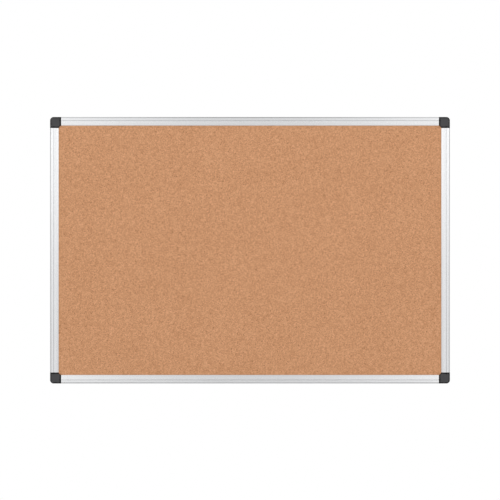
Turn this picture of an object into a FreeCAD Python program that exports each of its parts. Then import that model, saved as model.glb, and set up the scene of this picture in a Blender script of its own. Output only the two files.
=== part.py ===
"""Framed cork bulletin board for a wall, made of its separate parts.

X runs along the board, Z up, and the front faces -Y. The origin is the centre of the back plane,
which lies on the wall. Sections are drawn with u inward from the outer edge of the frame and
v forward from the wall. Corner parts are drawn once, at the lower left, and mirrored.
"""

import FreeCAD, Part
import math
import os

V = FreeCAD.Vector

# Overall size of the frame, outer edge to outer edge
BOARD_WIDTH = 900.0
BOARD_HEIGHT = 600.0

# Panel: cork face, soft fibreboard core and kraft paper backing, glued face to face
CORK_THICKNESS = 2.0
CORE_THICKNESS = 8.0
BACKING_THICKNESS = 0.5
PANEL_GAP = 0.4             # between the panel's edge and the web of the rail

# Rail: hollow aluminium extrusion with a channel for the panel
RAIL_FACE = 19.4            # outer edge to the lip that lies on the cork
RAIL_WALL = 1.2
CHAMBER_WIDTH = 10.2
EDGE_RADIUS = 3.6           # rounded outer edge
BACK_RADIUS = 0.6
CREST_RISE = 3.3            # outer band of the face above the cork
GROOVE_INSET = 7.4          # decorative V-groove along the face
GROOVE_WIDTH = 1.6
GROOVE_DEPTH = 1.2
BAND_DROP = 0.3             # inner band starts this much below the outer band
BAND_CROWN = 0.35           # and is slightly convex
LIP_RISE = 1.6              # inner band ends this much above the cork
LIP_RADIUS = 0.5
FOOT_WIDTH = 1.2            # turned-down edge that presses on the cork
BACK_LIP = 4.4              # flange behind the panel, past the web

# Corner: moulded base with two prongs, and a push-fit cap of the same outline
CORNER_SIZE = 24.7
CORNER_RADIUS = 7.8
INNER_CHAMFER = 6.0
END_GAP = 0.3               # between the corner and the cut end of a rail
SEAM_DROP = 5.2             # seam of base and cap, behind the crest of the rail
BASE_FLOOR = 3.0            # under the head of the wall screw
BASE_WALL = 1.5
POCKET_FLOOR = 2.0

# Prong that holds a rail
PRONG_FIT = 0.15            # to each wall of the chamber
PRONG_LENGTH = 38.0         # from the cut end of the rail
PRONG_TAPER = 1.2           # thinner at the nose, each side
PRONG_NOSE = 5.0
PRONG_WALL = 1.8
PRONG_RIB = 2.0
PRONG_POCKETS = 2

# Concealed hole for the wall screw, one in each corner
WALL_HOLE_INSET = 8.0       # from both outer edges of the frame
WALL_HOLE_RADIUS = 2.25
HEAD_RECESS_RADIUS = 4.2

# Cap
CAP_GAP = 0.3               # to the base and to the cork
CAP_RISE = 0.6              # face of the cap above the crest of the rail
CAP_WALL = 1.5
CAP_EDGE_RADIUS = 3.0
PRISE_SLOT_LENGTH = 3.8     # notch at each end, in line with the groove of the rail
PRISE_SLOT_WIDTH = 1.5
PRISE_SLOT_DEPTH = 2.6
LEG_THICKNESS = 1.6
LEG_STANDOFF = 0.9          # leg to the outer wall of its pocket
LEG_SIDE_GAP = 1.6
LEG_TIP_GAP = 1.0
LEG_BARB = 0.4
LEG_BARB_HEIGHT = 1.6
CAP_RIB = 1.0
CAP_RIB_DEPTH = 1.6

# Countersunk self-tapping screw, driven from the back through a rail into a prong
SCREW_INSET = 15.0          # from the cut end of the rail
SCREW_LENGTH = 9.5
SCREW_RADIUS = 1.45
SCREW_HEAD_RADIUS = 2.75
SCREW_TIP = 2.0
SCREW_FIT = 0.05
SCREW_BOSS = 4.0            # solid plastic each side of the screw
RECESS_SPAN = 2.9           # cross recess in the head
RECESS_WIDTH = 0.75
RECESS_DEPTH = 1.1

# Heights above the wall and distances inward that follow from the sizes above
core_back = RAIL_WALL + BACKING_THICKNESS
cork_back = core_back + CORE_THICKNESS
cork_front = cork_back + CORK_THICKNESS
crest = cork_front + CREST_RISE
lip_front = cork_front + LIP_RISE
cap_front = crest + CAP_RISE
base_front = crest - SEAM_DROP
chamber_end = RAIL_WALL + CHAMBER_WIDTH
chamber_front = crest - GROOVE_DEPTH - RAIL_WALL
chamber_middle = RAIL_WALL + CHAMBER_WIDTH / 2
channel_start = chamber_end + RAIL_WALL
groove_middle = GROOVE_INSET + GROOVE_WIDTH / 2
panel_inset = channel_start + PANEL_GAP
rail_end = CORNER_SIZE + END_GAP
BIG = 4 * CORNER_SIZE


def line(a, b):
    return Part.makeLine(V(*a), V(*b))


def arc(a, middle, b):
    return Part.Arc(V(*a), V(*middle), V(*b)).toShape()


def block(low, high):
    """A box in corner coordinates: a inward along X, b inward along Z, v forward from the wall."""
    size = [high[i] - low[i] for i in range(3)]
    return Part.makeBox(size[0], size[2], size[1], V(low[0], -high[2], low[1]))


def pin(a, b, v_low, v_high, radius):
    return Part.makeCylinder(radius, v_high - v_low, V(a, -v_low, b), V(0, -1, 0))


def swapped(shape):
    """The same shape with its directions along X and Z exchanged."""
    return shape.mirror(V(0, 0, 0), V(1, 0, -1))


def both_ways(shape):
    """A corner detail with its twin on the other arm of the corner."""
    return [shape, swapped(shape)]


# Rail

def rail_section():
    groove_end = GROOVE_INSET + GROOVE_WIDTH
    band_start = crest - BAND_DROP
    lip_top = RAIL_FACE - LIP_RADIUS
    foot = RAIL_FACE - FOOT_WIDTH
    slope = (band_start - lip_front) / (lip_top - groove_end)
    under_foot = lip_front + slope * (lip_top - foot) - RAIL_WALL
    under_web = lip_front + slope * (lip_top - channel_start) - RAIL_WALL
    flange = channel_start + BACK_LIP
    turn = 1 - math.sqrt(0.5)

    def at(u, v):
        return (u, -v, 0)

    corner = EDGE_RADIUS * turn
    back_corner = BACK_RADIUS * turn
    lip_corner = LIP_RADIUS * (1 - turn)
    band_middle = (groove_end + lip_top) / 2
    band_height = (band_start + lip_front) / 2 + BAND_CROWN
    outline = [
        line(at(0, BACK_RADIUS), at(0, crest - EDGE_RADIUS)),
        arc(at(0, crest - EDGE_RADIUS), at(corner, crest - corner), at(EDGE_RADIUS, crest)),
        line(at(EDGE_RADIUS, crest), at(GROOVE_INSET, crest)),
        line(at(GROOVE_INSET, crest), at(groove_middle, crest - GROOVE_DEPTH)),
        line(at(groove_middle, crest - GROOVE_DEPTH), at(groove_end, band_start)),
        arc(at(groove_end, band_start), at(band_middle, band_height), at(lip_top, lip_front)),
        arc(at(lip_top, lip_front),
            at(lip_top + lip_corner, lip_front - LIP_RADIUS + lip_corner),
            at(RAIL_FACE, lip_front - LIP_RADIUS)),
        line(at(RAIL_FACE, lip_front - LIP_RADIUS), at(RAIL_FACE, cork_front)),
        line(at(RAIL_FACE, cork_front), at(foot, cork_front)),
        line(at(foot, cork_front), at(foot, under_foot)),
        line(at(foot, under_foot), at(channel_start, under_web)),
        line(at(channel_start, under_web), at(channel_start, RAIL_WALL)),
        line(at(channel_start, RAIL_WALL), at(flange, RAIL_WALL)),
        line(at(flange, RAIL_WALL), at(flange, 0)),
        line(at(flange, 0), at(BACK_RADIUS, 0)),
        arc(at(BACK_RADIUS, 0), at(back_corner, back_corner), at(0, BACK_RADIUS)),
    ]
    return Part.Face(Part.Wire(outline))


def chamber_section(inset):
    """Hollow of the rail, or with an inset the section of what slides into it."""
    left = RAIL_WALL + inset
    right = chamber_end - inset
    back = RAIL_WALL + inset
    front = chamber_front - inset
    cut = EDGE_RADIUS - RAIL_WALL + inset
    points = [
        (left, back),
        (left, front - cut),
        (left + cut, front),
        (right, front),
        (right, back),
        (left, back),
    ]
    return Part.Face(Part.makePolygon([V(u, -v, 0) for u, v in points]))


def screw_bore(u, along):
    """Clearance for a screw: a countersink that opens on the back plane, and its shank."""
    drop = SCREW_HEAD_RADIUS - SCREW_RADIUS
    cone = Part.makeCone(SCREW_HEAD_RADIUS + SCREW_FIT, SCREW_RADIUS + SCREW_FIT, drop,
                         V(u, 0, along), V(0, -1, 0))
    shank = Part.makeCylinder(SCREW_RADIUS + SCREW_FIT, SCREW_LENGTH + SCREW_FIT,
                              V(u, 0, along), V(0, -1, 0))
    return cone.fuse(shank)


def make_rail(length):
    """A rail that stands along Z, centred on its length, with its outer edge at X = 0."""
    hollow = chamber_section(0).extrude(V(0, 0, length))
    rail = rail_section().extrude(V(0, 0, length)).cut(hollow)
    rail.translate(V(0, 0, -length / 2))
    for end in (-1, 1):
        rail = rail.cut(screw_bore(chamber_middle, end * (length / 2 - SCREW_INSET)))
    return rail


# Corner base, at the lower left with the outer corner of the frame at X = 0, Z = 0

def corner_outline(inset):
    """Square outline with a round outer corner and a clipped inner one, drawn this far inside."""
    low = inset
    high = CORNER_SIZE - inset
    clip = INNER_CHAMFER - inset * (2 - math.sqrt(2))
    bend = CORNER_RADIUS * (1 - math.sqrt(0.5)) + inset * math.sqrt(0.5)
    edges = [
        arc((low, 0, CORNER_RADIUS), (bend, 0, bend), (CORNER_RADIUS, 0, low)),
        line((CORNER_RADIUS, 0, low), (high, 0, low)),
        line((high, 0, low), (high, 0, high - clip)),
        line((high, 0, high - clip), (high - clip, 0, high)),
        line((high - clip, 0, high), (low, 0, high)),
        line((low, 0, high), (low, 0, CORNER_RADIUS)),
    ]
    return Part.Face(Part.Wire(edges))


def corner_prism(inset, v_low, v_high):
    prism = corner_outline(inset).extrude(V(0, v_low - v_high, 0))
    prism.translate(V(0, -v_low, 0))
    return prism


def pocket_span():
    """Start and end, along its arm, of the pocket that a leg of the cap enters."""
    start = WALL_HOLE_INSET + HEAD_RECESS_RADIUS + BASE_WALL
    return start, CORNER_SIZE - BASE_WALL


def make_prong():
    """Prong along X for the lower rail, with its neck, pockets and screw hole."""
    start = rail_end + PRONG_FIT
    nose_start = rail_end + PRONG_LENGTH - PRONG_NOSE
    stem = chamber_section(PRONG_FIT).extrude(V(0, 0, nose_start - start))
    stem.translate(V(0, 0, start))
    full = chamber_section(PRONG_FIT).OuterWire
    full.translate(V(0, 0, nose_start))
    slim = chamber_section(PRONG_FIT + PRONG_TAPER).OuterWire
    slim.translate(V(0, 0, nose_start + PRONG_NOSE))
    prong = stem.fuse(Part.makeLoft([full, slim], True))
    prong = swapped(prong)
    low = RAIL_WALL + PRONG_FIT
    high = chamber_end - PRONG_FIT
    neck_start = CORNER_SIZE - BASE_WALL
    prong = prong.fuse(block((neck_start, low, low), (start + PRONG_RIB, high, base_front - CAP_GAP)))
    screw_at = rail_end + SCREW_INSET
    spans = [(start + PRONG_RIB, screw_at - SCREW_BOSS), (screw_at + SCREW_BOSS, nose_start)]
    for span_start, span_end in spans:
        cell = (span_end - span_start + PRONG_RIB) / PRONG_POCKETS
        for i in range(PRONG_POCKETS):
            a = span_start + i * cell
            pocket = block((a, low + PRONG_WALL, low + PRONG_WALL),
                           (a + cell - PRONG_RIB, high - PRONG_WALL, chamber_front))
            prong = prong.cut(pocket)
    bore = swapped(screw_bore(chamber_middle, screw_at))
    return prong.cut(bore)


def make_corner_base():
    base = corner_prism(0, 0, base_front)
    # the corner of the panel lies here, on a floor as thick as the back flange of the rail
    base = base.cut(block((channel_start, channel_start, RAIL_WALL), (BIG, BIG, BIG)))
    start, end = pocket_span()
    pocket = block((start, BASE_WALL, POCKET_FLOOR),
                   (end, channel_start - BASE_WALL, base_front + 1))
    for cut in both_ways(pocket):
        base = base.cut(cut)
    inset = WALL_HOLE_INSET
    base = base.cut(pin(inset, inset, BASE_FLOOR, base_front + 1, HEAD_RECESS_RADIUS))
    base = base.cut(pin(inset, inset, -1, base_front, WALL_HOLE_RADIUS))
    for prong in both_ways(make_prong()):
        base = base.fuse(prong)
    return base.removeSplitter()


# Cap, drawn over its base

def make_leg():
    """Snap leg with a barb near its tip, for the pocket of the lower arm."""
    start, end = pocket_span()
    a_low = start + LEG_SIDE_GAP
    a_high = end - LEG_SIDE_GAP
    b_low = BASE_WALL + LEG_STANDOFF
    tip = POCKET_FLOOR + LEG_TIP_GAP
    leg = block((a_low, b_low, tip), (a_high, b_low + LEG_THICKNESS, cap_front - CAP_WALL / 2))
    barb_points = [
        (b_low, tip),
        (b_low - LEG_BARB, tip + LEG_BARB_HEIGHT),
        (b_low, tip + LEG_BARB_HEIGHT + LEG_BARB),
        (b_low, tip),
    ]
    barb = Part.Face(Part.makePolygon([V(a_low, -v, b) for b, v in barb_points]))
    return leg.fuse(barb.extrude(V(a_high - a_low, 0, 0)))


def make_corner_cap():
    skirt = base_front + CAP_GAP
    cap = corner_prism(0, skirt, cap_front)
    rim = [edge for edge in cap.Edges if edge.BoundBox.YMax < -cap_front + 0.01]
    cap = cap.makeFillet(CAP_EDGE_RADIUS, rim)
    ceiling = cap_front - CAP_WALL
    cap = cap.cut(corner_prism(CAP_WALL, skirt - 1, ceiling))
    # stiffening ribs across the underside, one on each arm
    rib_at = pocket_span()[0] - CAP_RIB
    rib = block((rib_at, CAP_WALL / 2, ceiling - CAP_RIB_DEPTH),
                (rib_at + CAP_RIB, channel_start, ceiling + CAP_WALL / 2))
    for extra in both_ways(make_leg()) + both_ways(rib):
        cap = cap.fuse(extra)
    # the cap stands clear of the corner of the cork
    cap = cap.cut(block((channel_start, channel_start, 0), (BIG, BIG, cork_front + CAP_GAP)))
    half = PRISE_SLOT_WIDTH / 2
    slot = block((CORNER_SIZE - PRISE_SLOT_LENGTH, groove_middle - half, cap_front - PRISE_SLOT_DEPTH),
                 (BIG, groove_middle + half, BIG))
    for cut in both_ways(slot):
        cap = cap.cut(cut)
    return cap.removeSplitter()


# Panel and screws

def make_sheet(v_low, v_high):
    width = BOARD_WIDTH - 2 * panel_inset
    height = BOARD_HEIGHT - 2 * panel_inset
    return Part.makeBox(width, v_high - v_low, height, V(-width / 2, -v_high, -height / 2))


def make_screw():
    """Countersunk screw with its head on the back plane at the origin, driven towards -Y."""
    head_height = SCREW_HEAD_RADIUS - SCREW_RADIUS
    forward = V(0, -1, 0)
    head = Part.makeCone(SCREW_HEAD_RADIUS, SCREW_RADIUS, head_height, V(0, 0, 0), forward)
    shank = Part.makeCylinder(SCREW_RADIUS, SCREW_LENGTH - SCREW_TIP, V(0, 0, 0), forward)
    tip = Part.makeCone(SCREW_RADIUS, SCREW_RADIUS / 4, SCREW_TIP,
                        V(0, SCREW_TIP - SCREW_LENGTH, 0), forward)
    screw = head.fuse(shank).fuse(tip)
    for angle in (0, 90):
        slot = Part.makeBox(RECESS_SPAN, RECESS_DEPTH, RECESS_WIDTH,
                            V(-RECESS_SPAN / 2, -RECESS_DEPTH, -RECESS_WIDTH / 2))
        slot.rotate(V(0, 0, 0), V(0, 1, 0), angle)
        screw = screw.cut(slot)
    return screw.removeSplitter()


# Assembly

def placed(shape, right, top):
    """A lower-left part moved to its corner or side, mirrored where it is on the right or at the top."""
    result = shape.copy()
    if right:
        result = result.mirror(V(0, 0, 0), V(1, 0, 0))
    if top:
        result = result.mirror(V(0, 0, 0), V(0, 0, 1))
    return result


def make_parts():
    parts = {}
    upright = make_rail(BOARD_HEIGHT - 2 * rail_end)
    upright.translate(V(-BOARD_WIDTH / 2, 0, 0))
    level = swapped(make_rail(BOARD_WIDTH - 2 * rail_end))
    level.translate(V(0, 0, -BOARD_HEIGHT / 2))
    parts["rail_left"] = upright
    parts["rail_right"] = placed(upright, True, False)
    parts["rail_bottom"] = level
    parts["rail_top"] = placed(level, False, True)

    parts["backing_sheet"] = make_sheet(RAIL_WALL, core_back)
    parts["core_board"] = make_sheet(core_back, cork_back)
    parts["cork_sheet"] = make_sheet(cork_back, cork_front)

    to_corner = V(-BOARD_WIDTH / 2, 0, -BOARD_HEIGHT / 2)
    base = make_corner_base()
    base.translate(to_corner)
    cap = make_corner_cap()
    cap.translate(to_corner)
    level_screw = make_screw()
    level_screw.translate(to_corner + V(rail_end + SCREW_INSET, 0, chamber_middle))
    upright_screw = make_screw()
    upright_screw.translate(to_corner + V(chamber_middle, 0, rail_end + SCREW_INSET))
    for side, right in (("left", False), ("right", True)):
        for edge, top in (("bottom", False), ("top", True)):
            parts[f"corner_base_{edge}_{side}"] = placed(base, right, top)
            parts[f"corner_cap_{edge}_{side}"] = placed(cap, right, top)
            parts[f"screw_rail_{edge}_{side}_end"] = placed(level_screw, right, top)
            parts[f"screw_rail_{side}_{edge}_end"] = placed(upright_screw, right, top)
    return parts


def main():
    os.makedirs("parts", exist_ok=True)
    for name, shape in make_parts().items():
        solids = shape.Solids
        print(f"{name}: {len(solids)} solid, {shape.Volume / 1000:.2f} cm3, valid {shape.isValid()}")
        solids[0].exportStep(f"parts/{name}.step")


main()
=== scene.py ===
import math

import bpy
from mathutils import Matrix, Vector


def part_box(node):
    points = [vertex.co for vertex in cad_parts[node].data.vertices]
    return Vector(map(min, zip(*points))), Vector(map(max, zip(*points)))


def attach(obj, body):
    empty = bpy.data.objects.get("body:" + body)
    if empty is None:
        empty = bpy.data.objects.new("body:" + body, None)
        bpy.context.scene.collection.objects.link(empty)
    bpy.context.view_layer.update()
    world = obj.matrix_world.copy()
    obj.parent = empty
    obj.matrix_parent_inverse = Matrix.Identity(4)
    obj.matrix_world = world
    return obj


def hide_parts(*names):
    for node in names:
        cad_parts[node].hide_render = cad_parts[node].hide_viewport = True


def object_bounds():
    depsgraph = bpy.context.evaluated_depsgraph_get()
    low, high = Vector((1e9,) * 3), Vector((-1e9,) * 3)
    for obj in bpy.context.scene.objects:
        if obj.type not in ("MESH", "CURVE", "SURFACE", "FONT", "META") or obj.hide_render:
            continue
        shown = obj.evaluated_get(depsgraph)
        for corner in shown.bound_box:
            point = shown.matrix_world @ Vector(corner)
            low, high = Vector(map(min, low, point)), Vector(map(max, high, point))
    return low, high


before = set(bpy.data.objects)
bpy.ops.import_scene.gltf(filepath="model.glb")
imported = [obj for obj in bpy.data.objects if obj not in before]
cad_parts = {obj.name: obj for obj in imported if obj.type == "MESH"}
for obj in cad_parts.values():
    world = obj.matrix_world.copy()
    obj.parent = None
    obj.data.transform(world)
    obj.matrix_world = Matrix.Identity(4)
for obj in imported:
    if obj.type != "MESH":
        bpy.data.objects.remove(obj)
cad_low, cad_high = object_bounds()
scene = bpy.context.scene
scene.view_settings.view_transform = "Standard"


# Camera: a long lens square in front of the board, as for a catalogue picture. The board hangs
# free, a little below the middle of the view.
LENS = 135.0
SENSOR = 36.0
VIEW_WIDTH = 1.125      # what the view takes in at the crest of the rails, metres
VIEW_RISE = 0.00056

camera_data = bpy.data.cameras.new("camera")
camera_data.lens = LENS
camera_data.sensor_width = SENSOR
camera = bpy.data.objects.new("camera", camera_data)
scene.collection.objects.link(camera)
camera_distance = VIEW_WIDTH * LENS / SENSOR
camera.location = (0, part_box("rail_top")[0].y - camera_distance, VIEW_RISE)
camera.rotation_euler = (math.pi / 2, 0, 0)
scene.camera = camera


# Studio: a white tent lit from outside. It is brightest a little to the left and right of straight
# ahead of the board, and dimmer far out to the sides, overhead and in its low corners. Two soft
# panels stand in front, and the camera sees plain white behind the board.
TENT_AHEAD = 0.79       # the glow all over the tent, to which the others are added in their places
TENT_SIDES = 0.92
TENT_UPRIGHT = (0.97, 0.70)     # what the sides keep of it, low down and high up
TENT_WIDE = -0.42
TENT_LOW_CORNERS = -0.58
TENT_OVERHEAD = -0.45
TENT_FAR_SIDES = (0.15, -0.50)  # low down and from the middle up
PANEL_SIZE = (2.4, 2.6)
PANEL_GLOW = 0.88
PANEL_AZIMUTH = math.radians(32)
PANEL_HEIGHT = 1.4
PANEL_DISTANCE = 4.2


def add_node(tree, kind, values=None, **settings):
    """A shader node with its settings, and values for the sockets that nothing is linked to."""
    made = tree.nodes.new(kind)
    for name, value in settings.items():
        setattr(made, name, value)
    for socket, value in (values or {}).items():
        made.inputs[socket].default_value = value
    return made


def spread(tree, source, low, high, to_low=0.0, to_high=1.0, smooth=True):
    """A value carried smoothly from one range to another, and held at its ends."""
    made = add_node(tree, "ShaderNodeMapRange",
                    {"From Min": low, "From Max": high, "To Min": to_low, "To Max": to_high},
                    interpolation_type="SMOOTHSTEP" if smooth else "LINEAR")
    tree.links.new(source, made.inputs["Value"])
    return made.outputs["Result"]


def calculate(tree, operation, first, second):
    """A Math node. Each side is a socket or a number."""
    made = add_node(tree, "ShaderNodeMath", operation=operation)
    for place, side in enumerate((first, second)):
        if isinstance(side, (int, float)):
            made.inputs[place].default_value = side
        else:
            tree.links.new(side, made.inputs[place])
    return made.outputs["Value"]


world = bpy.data.worlds.new("studio_tent")
scene.world = world
world.use_nodes = True
tent = world.node_tree
tent.nodes.clear()
# Places on the tent are parts of a unit direction: 0.1 sideways is about 6 degrees.
direction = add_node(tent, "ShaderNodeTexCoord").outputs["Generated"]
parts = add_node(tent, "ShaderNodeSeparateXYZ")
tent.links.new(direction, parts.inputs["Vector"])
sideways = calculate(tent, "ABSOLUTE", parts.outputs["X"], 0.0)
upright = spread(tent, parts.outputs["Z"], -0.3, 0.3, *TENT_UPRIGHT)
side_light = calculate(tent, "MULTIPLY", spread(tent, sideways, 0.0, 0.11, 0.0, TENT_SIDES), upright)
wide_light = spread(tent, sideways, 0.14, 0.40, 0.0, TENT_WIDE)
low_corners = calculate(tent, "MULTIPLY", spread(tent, sideways, 0.12, 0.32),
                        spread(tent, parts.outputs["Z"], 0.04, -0.12, 0.0, TENT_LOW_CORNERS))
overhead_light = spread(tent, parts.outputs["Z"], 0.4, 0.85, 0.0, TENT_OVERHEAD)
far_sides = calculate(tent, "MULTIPLY", spread(tent, sideways, 0.6, 0.85),
                      spread(tent, parts.outputs["Z"], -0.15, 0.10, *TENT_FAR_SIDES))
glow = calculate(tent, "ADD", calculate(tent, "ADD", side_light, wide_light),
                 calculate(tent, "ADD", overhead_light, TENT_AHEAD))
glow = calculate(tent, "ADD", glow, calculate(tent, "ADD", low_corners, far_sides))
tent_light = add_node(tent, "ShaderNodeBackground")
tent.links.new(glow, tent_light.inputs["Strength"])
backdrop = add_node(tent, "ShaderNodeBackground", {"Color": (1, 1, 1, 1), "Strength": 1.0})
seen = add_node(tent, "ShaderNodeLightPath")
choice = add_node(tent, "ShaderNodeMixShader")
tent.links.new(seen.outputs["Is Camera Ray"], choice.inputs["Fac"])
tent.links.new(tent_light.outputs["Background"], choice.inputs[1])
tent.links.new(backdrop.outputs["Background"], choice.inputs[2])
tent_out = add_node(tent, "ShaderNodeOutputWorld")
tent.links.new(choice.outputs["Shader"], tent_out.inputs["Surface"])

for name, side in (("panel_left", -1), ("panel_right", 1)):
    panel_data = bpy.data.lights.new(name, "AREA")
    panel_data.shape = "RECTANGLE"
    panel_data.size, panel_data.size_y = PANEL_SIZE
    panel_data.energy = PANEL_GLOW * math.pi * PANEL_SIZE[0] * PANEL_SIZE[1]
    panel = bpy.data.objects.new(name, panel_data)
    panel.location = (side * PANEL_DISTANCE * math.sin(PANEL_AZIMUTH),
                      -PANEL_DISTANCE * math.cos(PANEL_AZIMUTH), PANEL_HEIGHT)
    panel.rotation_euler = (-panel.location).to_track_quat("-Z", "Y").to_euler()
    scene.collection.objects.link(panel)


# Floor: a pale round sheet well below the board. It fades out at its rim, so that it has no edge.
FLOOR_DROP = 0.85       # below the bottom edge of the board
FLOOR_RADIUS = 3.3
FLOOR_FADE = 1.3        # width of the rim that fades
FLOOR_WHITE = (0.86, 0.86, 0.86, 1)

bpy.ops.object.select_all(action="DESELECT")
bpy.ops.mesh.primitive_circle_add(vertices=128, radius=FLOOR_RADIUS, fill_type="NGON",
                                  location=(0, 0, cad_low.z - FLOOR_DROP))
floor = bpy.context.object
floor.name = "floor"
bpy.ops.object.transform_apply(location=True, rotation=True, scale=True)
floor_paint = bpy.data.materials.new("floor_pale")
floor_paint.use_nodes = True
tree = floor_paint.node_tree
shader = tree.nodes["Principled BSDF"]
shader.inputs["Base Color"].default_value = FLOOR_WHITE
shader.inputs["Roughness"].default_value = 0.9
shader.inputs["Specular IOR Level"].default_value = 0.2
place = add_node(tree, "ShaderNodeTexCoord")
flat = add_node(tree, "ShaderNodeVectorMath", {1: (1, 1, 0)}, operation="MULTIPLY")
tree.links.new(place.outputs["Object"], flat.inputs[0])
away = add_node(tree, "ShaderNodeVectorMath", operation="LENGTH")
tree.links.new(flat.outputs["Vector"], away.inputs[0])
fade = spread(tree, away.outputs["Value"], FLOOR_RADIUS - FLOOR_FADE, FLOOR_RADIUS, 1.0, 0.0)
tree.links.new(fade, shader.inputs["Alpha"])
floor.data.materials.append(floor_paint)


# Rails: four lengths of hollow aluminium extrusion, sawn square, etched and satin anodised. The die
# leaves fine lines along each length. They stay as the frame has them.
ALUMINIUM = (0.80, 0.805, 0.815, 1)
RAIL_ROUGHNESS = 0.28
LINE_SPACING = 0.0009
LINE_RUN = 1.1          # how far a line goes on before it changes
LINE_DEPTH = 0.0000025
LINE_SHADES = (0.98, 1.015)     # of the darkest and the brightest line


def new_group(name, inputs, outputs):
    """A shader node group with named sockets, each given as (name, kind) or (name, kind, value)."""
    tree = bpy.data.node_groups.new(name, "ShaderNodeTree")
    for label, kind, *value in inputs:
        socket = tree.interface.new_socket(name=label, in_out="INPUT", socket_type=kind)
        if value:
            socket.default_value = value[0]
    for label, kind in outputs:
        tree.interface.new_socket(name=label, in_out="OUTPUT", socket_type=kind)
    return tree, add_node(tree, "NodeGroupInput").outputs, add_node(tree, "NodeGroupOutput").inputs


def new_material(name, color, roughness, **values):
    """A material whose Principled shader has the values that are the same all over it."""
    material = bpy.data.materials.new(name)
    material.use_nodes = True
    shader = material.node_tree.nodes["Principled BSDF"]
    shader.inputs["Base Color"].default_value = color
    shader.inputs["Roughness"].default_value = roughness
    for label, value in values.items():
        shader.inputs[label.replace("_", " ")].default_value = value
    return material, material.node_tree, shader


def own_place(tree, scale=(1, 1, 1)):
    """Object coordinates, stretched."""
    mapping = add_node(tree, "ShaderNodeMapping", {"Scale": scale})
    tree.links.new(add_node(tree, "ShaderNodeTexCoord").outputs["Object"], mapping.inputs["Vector"])
    return mapping.outputs["Vector"]


def noise(tree, vector, scale, detail=2.0, roughness=0.5):
    """Brightness of a noise pattern, about 0.5 on average."""
    made = add_node(tree, "ShaderNodeTexNoise",
                    {"Scale": scale, "Detail": detail, "Roughness": roughness})
    tree.links.new(vector, made.inputs["Vector"])
    return made.outputs["Fac"]


def tint(tree, color, strength):
    """A colour, or a socket with one, multiplied by a grey value."""
    made = add_node(tree, "ShaderNodeMix", {"Factor": 1.0}, data_type="RGBA", blend_type="MULTIPLY")
    if isinstance(color, tuple):
        made.inputs["A"].default_value = color
    else:
        tree.links.new(color, made.inputs["A"])
    tree.links.new(strength, made.inputs["B"])
    return made.outputs["Result"]


def set_finish(nodes, material):
    """Gives nodes of the frame this material in place of their own."""
    for name in nodes:
        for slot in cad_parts[name].material_slots:
            slot.material = material


die_lines, given, result = new_group(
    "die_lines",
    [("Vector", "NodeSocketVector"), ("Line Depth", "NodeSocketFloat", LINE_DEPTH),
     ("Roughness", "NodeSocketFloat", RAIL_ROUGHNESS)],
    [("Shade", "NodeSocketFloat"), ("Roughness", "NodeSocketFloat"), ("Normal", "NodeSocketVector")])
coarse = noise(die_lines, given["Vector"], 1.0, 3.0, 0.6)
fine = noise(die_lines, given["Vector"], 3.7, 2.0, 0.5)
both = calculate(die_lines, "ADD", calculate(die_lines, "MULTIPLY", coarse, 0.6),
                 calculate(die_lines, "MULTIPLY", fine, 0.4))
die_lines.links.new(spread(die_lines, both, 0.3, 0.7, *LINE_SHADES), result["Shade"])
matt = calculate(die_lines, "MULTIPLY", spread(die_lines, coarse, 0.3, 0.7, 0.94, 1.06),
                 given["Roughness"])
die_lines.links.new(matt, result["Roughness"])
ridges = add_node(die_lines, "ShaderNodeBump", {"Strength": 1.0})
die_lines.links.new(given["Line Depth"], ridges.inputs["Distance"])
die_lines.links.new(both, ridges.inputs["Height"])
die_lines.links.new(ridges.outputs["Normal"], result["Normal"])

across = 1 / LINE_SPACING
along = 1 / LINE_RUN
for name, stretch, lie, rails in (
        ("anodised_aluminium_long", (along, across, across), (0, 0, 1), ("rail_top", "rail_bottom")),
        ("anodised_aluminium_short", (across, across, along), (1, 0, 0), ("rail_left", "rail_right"))):
    material, tree, shader = new_material(name, ALUMINIUM, RAIL_ROUGHNESS, Metallic=1.0,
                                          Anisotropic=0.85)
    lines = add_node(tree, "ShaderNodeGroup", node_tree=die_lines)
    lines.inputs["Line Depth"].default_value = LINE_DEPTH
    lines.inputs["Roughness"].default_value = RAIL_ROUGHNESS
    tree.links.new(own_place(tree, stretch), lines.inputs["Vector"])
    tree.links.new(tint(tree, ALUMINIUM, lines.outputs["Shade"]), shader.inputs["Base Color"])
    tree.links.new(lines.outputs["Roughness"], shader.inputs["Roughness"])
    tree.links.new(lines.outputs["Normal"], shader.inputs["Normal"])
    lay = add_node(tree, "ShaderNodeCombineXYZ", {"X": lie[0], "Y": lie[1], "Z": lie[2]})
    tree.links.new(lay.outputs["Vector"], shader.inputs["Tangent"])
    set_finish(rails, material)


# Corner bases: moulded in dark grey plastic with a fine spark-eroded texture. Two prongs of each
# are driven into the hollows of the rails. They stay as the frame has them.
BASE_GREY = (0.024, 0.024, 0.026, 1)
CORNERS = [f"{edge}_{side}" for edge in ("bottom", "top") for side in ("left", "right")]

mould_texture, given, result = new_group(
    "mould_texture",
    [("Grain Size", "NodeSocketFloat", 0.0004), ("Depth", "NodeSocketFloat", 0.00002),
     ("Roughness", "NodeSocketFloat", 0.5)],
    [("Shade", "NodeSocketFloat"), ("Roughness", "NodeSocketFloat"), ("Normal", "NodeSocketVector")])
here = add_node(mould_texture, "ShaderNodeTexCoord").outputs["Object"]
pits = add_node(mould_texture, "ShaderNodeTexNoise", {"Detail": 3.0, "Roughness": 0.6})
mould_texture.links.new(here, pits.inputs["Vector"])
mould_texture.links.new(calculate(mould_texture, "DIVIDE", 1.0, given["Grain Size"]),
                        pits.inputs["Scale"])
flow = noise(mould_texture, here, 110.0, 2.0, 0.5)
shade = calculate(mould_texture, "MULTIPLY",
                  spread(mould_texture, pits.outputs["Fac"], 0.3, 0.7, 0.86, 1.12),
                  spread(mould_texture, flow, 0.3, 0.7, 0.95, 1.05))
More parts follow.
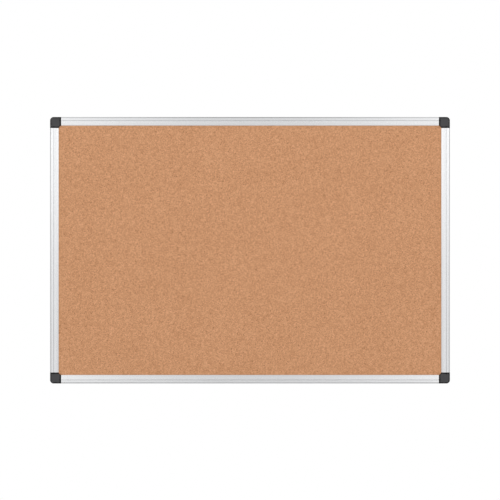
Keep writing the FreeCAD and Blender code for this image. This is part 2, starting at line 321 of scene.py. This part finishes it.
mould_texture.links.new(shade, result["Shade"])
matt = calculate(mould_texture, "MULTIPLY", spread(mould_texture, flow, 0.3, 0.7, 0.9, 1.1),
                 given["Roughness"])
mould_texture.links.new(matt, result["Roughness"])
pitting = add_node(mould_texture, "ShaderNodeBump", {"Strength": 1.0})
mould_texture.links.new(given["Depth"], pitting.inputs["Distance"])
mould_texture.links.new(pits.outputs["Fac"], pitting.inputs["Height"])
mould_texture.links.new(pitting.outputs["Normal"], result["Normal"])


def moulded_plastic(name, grey, grain_size, depth, roughness):
    """Textured plastic. It is returned with its tree and the socket that gives its shade of grey."""
    material, tree, shader = new_material(name, grey, roughness, Specular_IOR_Level=0.25)
    texture = add_node(tree, "ShaderNodeGroup", node_tree=mould_texture)
    texture.inputs["Grain Size"].default_value = grain_size
    texture.inputs["Depth"].default_value = depth
    texture.inputs["Roughness"].default_value = roughness
    tree.links.new(tint(tree, grey, texture.outputs["Shade"]), shader.inputs["Base Color"])
    tree.links.new(texture.outputs["Roughness"], shader.inputs["Roughness"])
    tree.links.new(texture.outputs["Normal"], shader.inputs["Normal"])
    return material, tree, texture.outputs["Shade"]


base_plastic = moulded_plastic("moulded_base_plastic", BASE_GREY, grain_size=0.0005, depth=0.00002,
                               roughness=0.55)[0]
set_finish([f"corner_base_{corner}" for corner in CORNERS], base_plastic)


# Rail screws: countersunk self-tapping screws of zinc-plated steel, driven from the back through
# the end of each rail into the prong inside it. They stay as the frame has them.
ZINC = (0.62, 0.63, 0.62, 1)
ZINC_ROUGHNESS = (0.24, 0.42)

zinc, tree, shader = new_material("zinc_plated_steel", ZINC, 0.32, Metallic=1.0)
plating = noise(tree, own_place(tree), 900.0, 3.0, 0.6)
tree.links.new(tint(tree, ZINC, spread(tree, plating, 0.3, 0.7, 0.82, 1.08)),
               shader.inputs["Base Color"])
tree.links.new(spread(tree, plating, 0.3, 0.7, *ZINC_ROUGHNESS), shader.inputs["Roughness"])
set_finish([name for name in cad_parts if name.startswith("screw_rail_")], zinc)


# Core: a soft fibreboard that takes the pins, glued between the cork and the kraft paper. Its edges
# lie in the channels of the rails. It stays as the frame has it.
FIBREBOARD = (0.42, 0.30, 0.19, 1)

fibreboard, tree, shader = new_material("soft_fibreboard", FIBREBOARD, 0.95)
felt = noise(tree, own_place(tree, (1, 2.5, 1)), 700.0, 5.0, 0.7)
tree.links.new(tint(tree, FIBREBOARD, spread(tree, felt, 0.3, 0.7, 0.7, 1.15)),
               shader.inputs["Base Color"])
fuzz = add_node(tree, "ShaderNodeBump", {"Strength": 1.0, "Distance": 0.0002})
tree.links.new(felt, fuzz.inputs["Height"])
tree.links.new(fuzz.outputs["Normal"], shader.inputs["Normal"])
set_finish(["core_board"], fibreboard)


# Backing: brown kraft paper glued over the back of the core. The glue has drawn it into low
# cockles, flat again at the edges, where the rails' flanges hold it.
KRAFT = (0.42, 0.27, 0.15, 1)
PAPER_CELLS = (126, 82)
PAPER_RISE = 0.0004     # of the highest cockle, out of the back
PAPER_HELD = 0.016      # width of the flat edge
FIBRE_STRETCH = (420, 1000, 1300)       # of the pattern of fibres, which lie along the board
MAP_EDGE = 0.01         # margin round each part of a bake map


def select_only(piece):
    bpy.ops.object.select_all(action="DESELECT")
    piece.select_set(True)
    bpy.context.view_layer.objects.active = piece


def make_panel_sheet(name, node, cells, faces_front):
    """A sheet as large as a node of the panel, with a fine grid on its outer side."""
    low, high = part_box(node)
    outer, inner = (low.y, high.y) if faces_front else (high.y, low.y)
    bpy.ops.object.select_all(action="DESELECT")
    bpy.ops.mesh.primitive_grid_add(x_subdivisions=cells[0], y_subdivisions=cells[1], size=1,
                                    location=(0, outer, 0),
                                    rotation=(math.pi / 2 if faces_front else -math.pi / 2, 0, 0))
    sheet = bpy.context.object
    sheet.name = name
    sheet.scale = (high.x - low.x, high.z - low.z, 1)
    bpy.ops.object.transform_apply(location=True, rotation=True, scale=True)
    bpy.ops.object.mode_set(mode="EDIT")
    bpy.ops.mesh.select_all(action="SELECT")
    bpy.ops.mesh.region_to_loop()
    bpy.ops.mesh.extrude_region_move(TRANSFORM_OT_translate={"value": (0, inner - outer, 0)})
    bpy.ops.mesh.edge_face_add()
    bpy.ops.mesh.select_all(action="SELECT")
    bpy.ops.mesh.normals_make_consistent(inside=False)
    bpy.ops.object.mode_set(mode="OBJECT")
    return sheet


def lay_out_sheet(sheet, outer):
    """A bake map that gives most of its room to the outer side of a sheet, and strips to its edges."""
    points = [vertex.co for vertex in sheet.data.vertices]
    left = min(point.x for point in points)
    bottom = min(point.z for point in points)
    width = max(point.x for point in points) - left
    height = max(point.z for point in points) - bottom
    scale = (1 - 2 * MAP_EDGE) / width
    above = 2 * MAP_EDGE + height * scale
    layer = sheet.data.uv_layers[0]
    layer.name = "OFBake"
    for face in sheet.data.polygons:
        normal = face.normal
        for loop in face.loop_indices:
            point = sheet.data.vertices[sheet.data.loops[loop].vertex_index].co
            u, v = (point.x - left) * scale, (point.z - bottom) * scale
            depth = abs(point.y - outer) * scale
            if len(face.vertices) > 4:
                small = (1 - above - 6 * MAP_EDGE) / (height * scale)
                u, v = u * small, v * small + above + 4 * MAP_EDGE
            elif abs(normal.z) > 0.7:
                v = above + depth + (MAP_EDGE if normal.z > 0 else 0)
            elif abs(normal.x) > 0.7:
                u, v = v, above + depth + (3 * MAP_EDGE if normal.x > 0 else 2 * MAP_EDGE)
            layer.data[loop].uv = (MAP_EDGE + u, MAP_EDGE + v)


def ruffle(sheet, name, wave, height, region):
    """Moves the vertices of a region along Y by a cloud pattern of this wavelength, and applies it."""
    cloud = bpy.data.textures.new(name, "CLOUDS")
    cloud.noise_scale = wave
    cloud.noise_depth = 1
    displace = sheet.modifiers.new(name, "DISPLACE")
    displace.texture = cloud
    displace.texture_coords = "LOCAL"
    displace.direction = "Y"
    displace.mid_level = 0.0
    displace.strength = height
    displace.vertex_group = region
    select_only(sheet)
    bpy.ops.object.modifier_apply(modifier=displace.name)


def mark_region(sheet, name, outer, margin):
    """A vertex group on the outer side of a sheet that fades to nothing towards its edges."""
    region = sheet.vertex_groups.new(name=name)
    half_width = max(vertex.co.x for vertex in sheet.data.vertices)
    half_height = max(vertex.co.z for vertex in sheet.data.vertices)
    for vertex in sheet.data.vertices:
        edge = min(half_width - abs(vertex.co.x), half_height - abs(vertex.co.z))
        if abs(vertex.co.y - outer) < 1e-6 and edge > 0:
            region.add([vertex.index], min(edge / margin, 1.0) ** 2, "REPLACE")


backing = make_panel_sheet("kraft_backing", "backing_sheet", PAPER_CELLS, False)
backing_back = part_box("backing_sheet")[1].y
lay_out_sheet(backing, backing_back)
mark_region(backing, "cockled", backing_back, 3 * PAPER_HELD)
ruffle(backing, "paper_cockle", 0.11, PAPER_RISE, "cockled")
bpy.ops.object.shade_smooth_by_angle(angle=math.radians(35))

kraft_paper, tree, shader = new_material("kraft_paper", KRAFT, 0.85)
long_fibres = noise(tree, own_place(tree, FIBRE_STRETCH), 1.0, 4.0, 0.7)
flecks = noise(tree, own_place(tree), 2100.0, 2.0, 0.6)
blotches = noise(tree, own_place(tree), 22.0, 3.0, 0.6)
fibres = calculate(tree, "ADD", calculate(tree, "MULTIPLY", long_fibres, 0.6),
                   calculate(tree, "MULTIPLY", flecks, 0.4))
shade = calculate(tree, "MULTIPLY", spread(tree, fibres, 0.35, 0.65, 0.88, 1.09),
                  spread(tree, blotches, 0.3, 0.7, 0.975, 1.02))
tree.links.new(tint(tree, KRAFT, shade), shader.inputs["Base Color"])
tooth = add_node(tree, "ShaderNodeBump", {"Strength": 1.0, "Distance": 0.00005})
tree.links.new(fibres, tooth.inputs["Height"])
tree.links.new(tooth.outputs["Normal"], shader.inputs["Normal"])
backing.data.materials.append(kraft_paper)
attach(backing, "frame")
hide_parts("backing_sheet")


# Cork: granules of bark and cork pressed with a binder, sliced and sanded to a sheet, and glued to
# the core. The sanded face is a little uneven, and lower where a granule has broken away.
CORK_CELLS = (300, 197)
CORK_EVEN = 0.0065      # width of the even edge, which the feet of the rails press on
CORK_HOLLOW = 0.00012   # depth of the broadest hollows
CORK_PIT = 0.00011      # and of the pits where granules have broken away
GRANULE = 0.0021
CHIP = 0.0011           # a piece of cork or bark in a granule
RAGGED = 0.0016         # how far the outlines of granules and chips wander
BARK_SHARE = 0.04       # of the chips
BARK_SHADE = 0.55

cork = make_panel_sheet("cork_face", "cork_sheet", CORK_CELLS, True)
cork_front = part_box("cork_sheet")[0].y
lay_out_sheet(cork, cork_front)
mark_region(cork, "sanded", cork_front, CORK_EVEN)
ruffle(cork, "cork_hollow", 0.022, CORK_HOLLOW, "sanded")
ruffle(cork, "cork_pit", 0.0045, CORK_PIT, "sanded")
bpy.ops.object.shade_smooth_by_angle(angle=math.radians(35))

CORK_TAN = (0.745, 0.380, 0.198, 1)
CORK_TONES = (0.45, 1.25)       # from the darkest bark to the palest cork, against the tan
CORK_COLORS = (                 # in the same order
    (0.000, (0.335, 0.131, 0.048, 1)),
    (0.375, (0.559, 0.259, 0.119, 1)),
    (0.688, CORK_TAN),
    (0.850, (0.842, 0.447, 0.245, 1)),
    (1.000, (0.931, 0.511, 0.293, 1)))

cork_finish, tree, shader = new_material("pressed_cork", CORK_TAN, 0.9)
shader.inputs["Specular IOR Level"].default_value = 0.25
place = add_node(tree, "ShaderNodeTexCoord").outputs["Object"]
wobble = add_node(tree, "ShaderNodeTexNoise", {"Scale": 520.0, "Detail": 2.0})
tree.links.new(place, wobble.inputs["Vector"])
offset = add_node(tree, "ShaderNodeVectorMath", {1: (RAGGED, RAGGED, RAGGED)}, operation="MULTIPLY")
tree.links.new(wobble.outputs["Color"], offset.inputs[0])
ragged = add_node(tree, "ShaderNodeVectorMath", operation="ADD")
tree.links.new(place, ragged.inputs[0])
tree.links.new(offset.outputs["Vector"], ragged.inputs[1])
uneven = ragged.outputs["Vector"]


def cells(tree, vector, size, feature="F1"):
    """Voronoi cells of about this size."""
    made = add_node(tree, "ShaderNodeTexVoronoi", {"Scale": 1 / size}, feature=feature)
    tree.links.new(vector, made.inputs["Vector"])
    return made


def ramp(tree, value, stops):
    """A colour ramp. Each stop is (place, colour)."""
    made = add_node(tree, "ShaderNodeValToRGB")
    elements = made.color_ramp.elements
    while len(elements) < len(stops):
        elements.new(0.5)
    for element, (at, color) in zip(elements, stops):
        element.position = at
        element.color = color
    tree.links.new(value, made.inputs["Fac"])
    return made.outputs["Color"]


granules = cells(tree, uneven, GRANULE)
granule_draw = add_node(tree, "ShaderNodeSeparateColor")
tree.links.new(granules.outputs["Color"], granule_draw.inputs["Color"])
granule_tone = spread(tree, granule_draw.outputs["Red"], 0.0, 1.0, 0.86, 1.14, smooth=False)
seams = cells(tree, uneven, GRANULE, "DISTANCE_TO_EDGE").outputs["Distance"]
chips = cells(tree, uneven, CHIP)
chip_draw = add_node(tree, "ShaderNodeSeparateColor")
tree.links.new(chips.outputs["Color"], chip_draw.inputs["Color"])
chip_shade = spread(tree, chip_draw.outputs["Green"], 0.0, 1.0, 0.90, 1.10, smooth=False)
bark_from = 1 - BARK_SHARE
bark = spread(tree, chip_draw.outputs["Red"], bark_from - 0.005, bark_from + 0.005, 1.0, BARK_SHADE)
patches = noise(tree, place, 9.0, 3.0, 0.6)
tone = calculate(tree, "MULTIPLY", calculate(tree, "MULTIPLY", granule_tone, chip_shade),
                 calculate(tree, "MULTIPLY", bark, spread(tree, seams, 0.0, 0.10, 0.86, 1.0)))
tone = calculate(tree, "MULTIPLY", tone, spread(tree, patches, 0.25, 0.75, 0.985, 1.015))
cork_color = ramp(tree, spread(tree, tone, *CORK_TONES, smooth=False), CORK_COLORS)
tree.links.new(cork_color, shader.inputs["Base Color"])
grit = noise(tree, place, 2600.0, 2.0, 0.6)
relief = calculate(tree, "ADD", spread(tree, seams, 0.0, 0.16, 0.0, 0.6),
                   calculate(tree, "ADD", calculate(tree, "MULTIPLY", chip_draw.outputs["Blue"], 0.25),
                             calculate(tree, "MULTIPLY", grit, 0.15)))
sanded = add_node(tree, "ShaderNodeBump", {"Strength": 1.0, "Distance": 0.00022})
tree.links.new(relief, sanded.inputs["Height"])
tree.links.new(sanded.outputs["Normal"], shader.inputs["Normal"])
cork.data.materials.append(cork_finish)
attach(cork, "frame")
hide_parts("cork_sheet")


# Corner caps: moulded in the same plastic as the bases, in a lighter grey, and pushed on over the wall
# screws. A painted shade darkens a rim round the field of each, and the sides, for the shading of
# their rounded edges. They stay as the frame has them, each on its own sliding body.
CAP_GREY = (0.063, 0.063, 0.066, 1)
PAINTED_RIM_WIDTH = 0.0036        # width of the rim that the painted shade darkens
RIM_PAINTED_SHADE = 0.2         # the painted shade of the rim, against the field's
FIELD_EDGE = 0.0012     # over which one turns into the other

cap_plastic, tree, cap_shade = moulded_plastic("moulded_cap_plastic", CAP_GREY, grain_size=0.0004,
                                               depth=0.000016, roughness=0.45)
cap_start, cap_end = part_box("corner_cap_top_right")
cap_middle = (cap_start + cap_end) / 2
# Absolute coordinates fold the four corners onto the top right one, whose middle serves them all.
folded = add_node(tree, "ShaderNodeVectorMath", operation="ABSOLUTE")
tree.links.new(add_node(tree, "ShaderNodeTexCoord").outputs["Object"], folded.inputs[0])
from_middle = add_node(tree, "ShaderNodeVectorMath", {1: cap_middle}, operation="SUBTRACT")
tree.links.new(folded.outputs["Vector"], from_middle.inputs[0])
off_middle = add_node(tree, "ShaderNodeSeparateXYZ")
tree.links.new(from_middle.outputs["Vector"], off_middle.inputs["Vector"])
off_side = calculate(tree, "MAXIMUM", calculate(tree, "ABSOLUTE", off_middle.outputs["X"], 0.0),
                     calculate(tree, "ABSOLUTE", off_middle.outputs["Z"], 0.0))
field_end = (cap_end.x - cap_start.x) / 2 - PAINTED_RIM_WIDTH
# Painted shade: the rim and the sides of each cap are darkened in its colour, standing in for the
# shading of its rounded edges.
rim_painted_shade = spread(tree, off_side, field_end, field_end + FIELD_EDGE, 1.0, RIM_PAINTED_SHADE)
shader = tree.nodes["Principled BSDF"]
tree.links.new(tint(tree, CAP_GREY, calculate(tree, "MULTIPLY", cap_shade, rim_painted_shade)),
               shader.inputs["Base Color"])
set_finish([f"corner_cap_{corner}" for corner in CORNERS], cap_plastic)
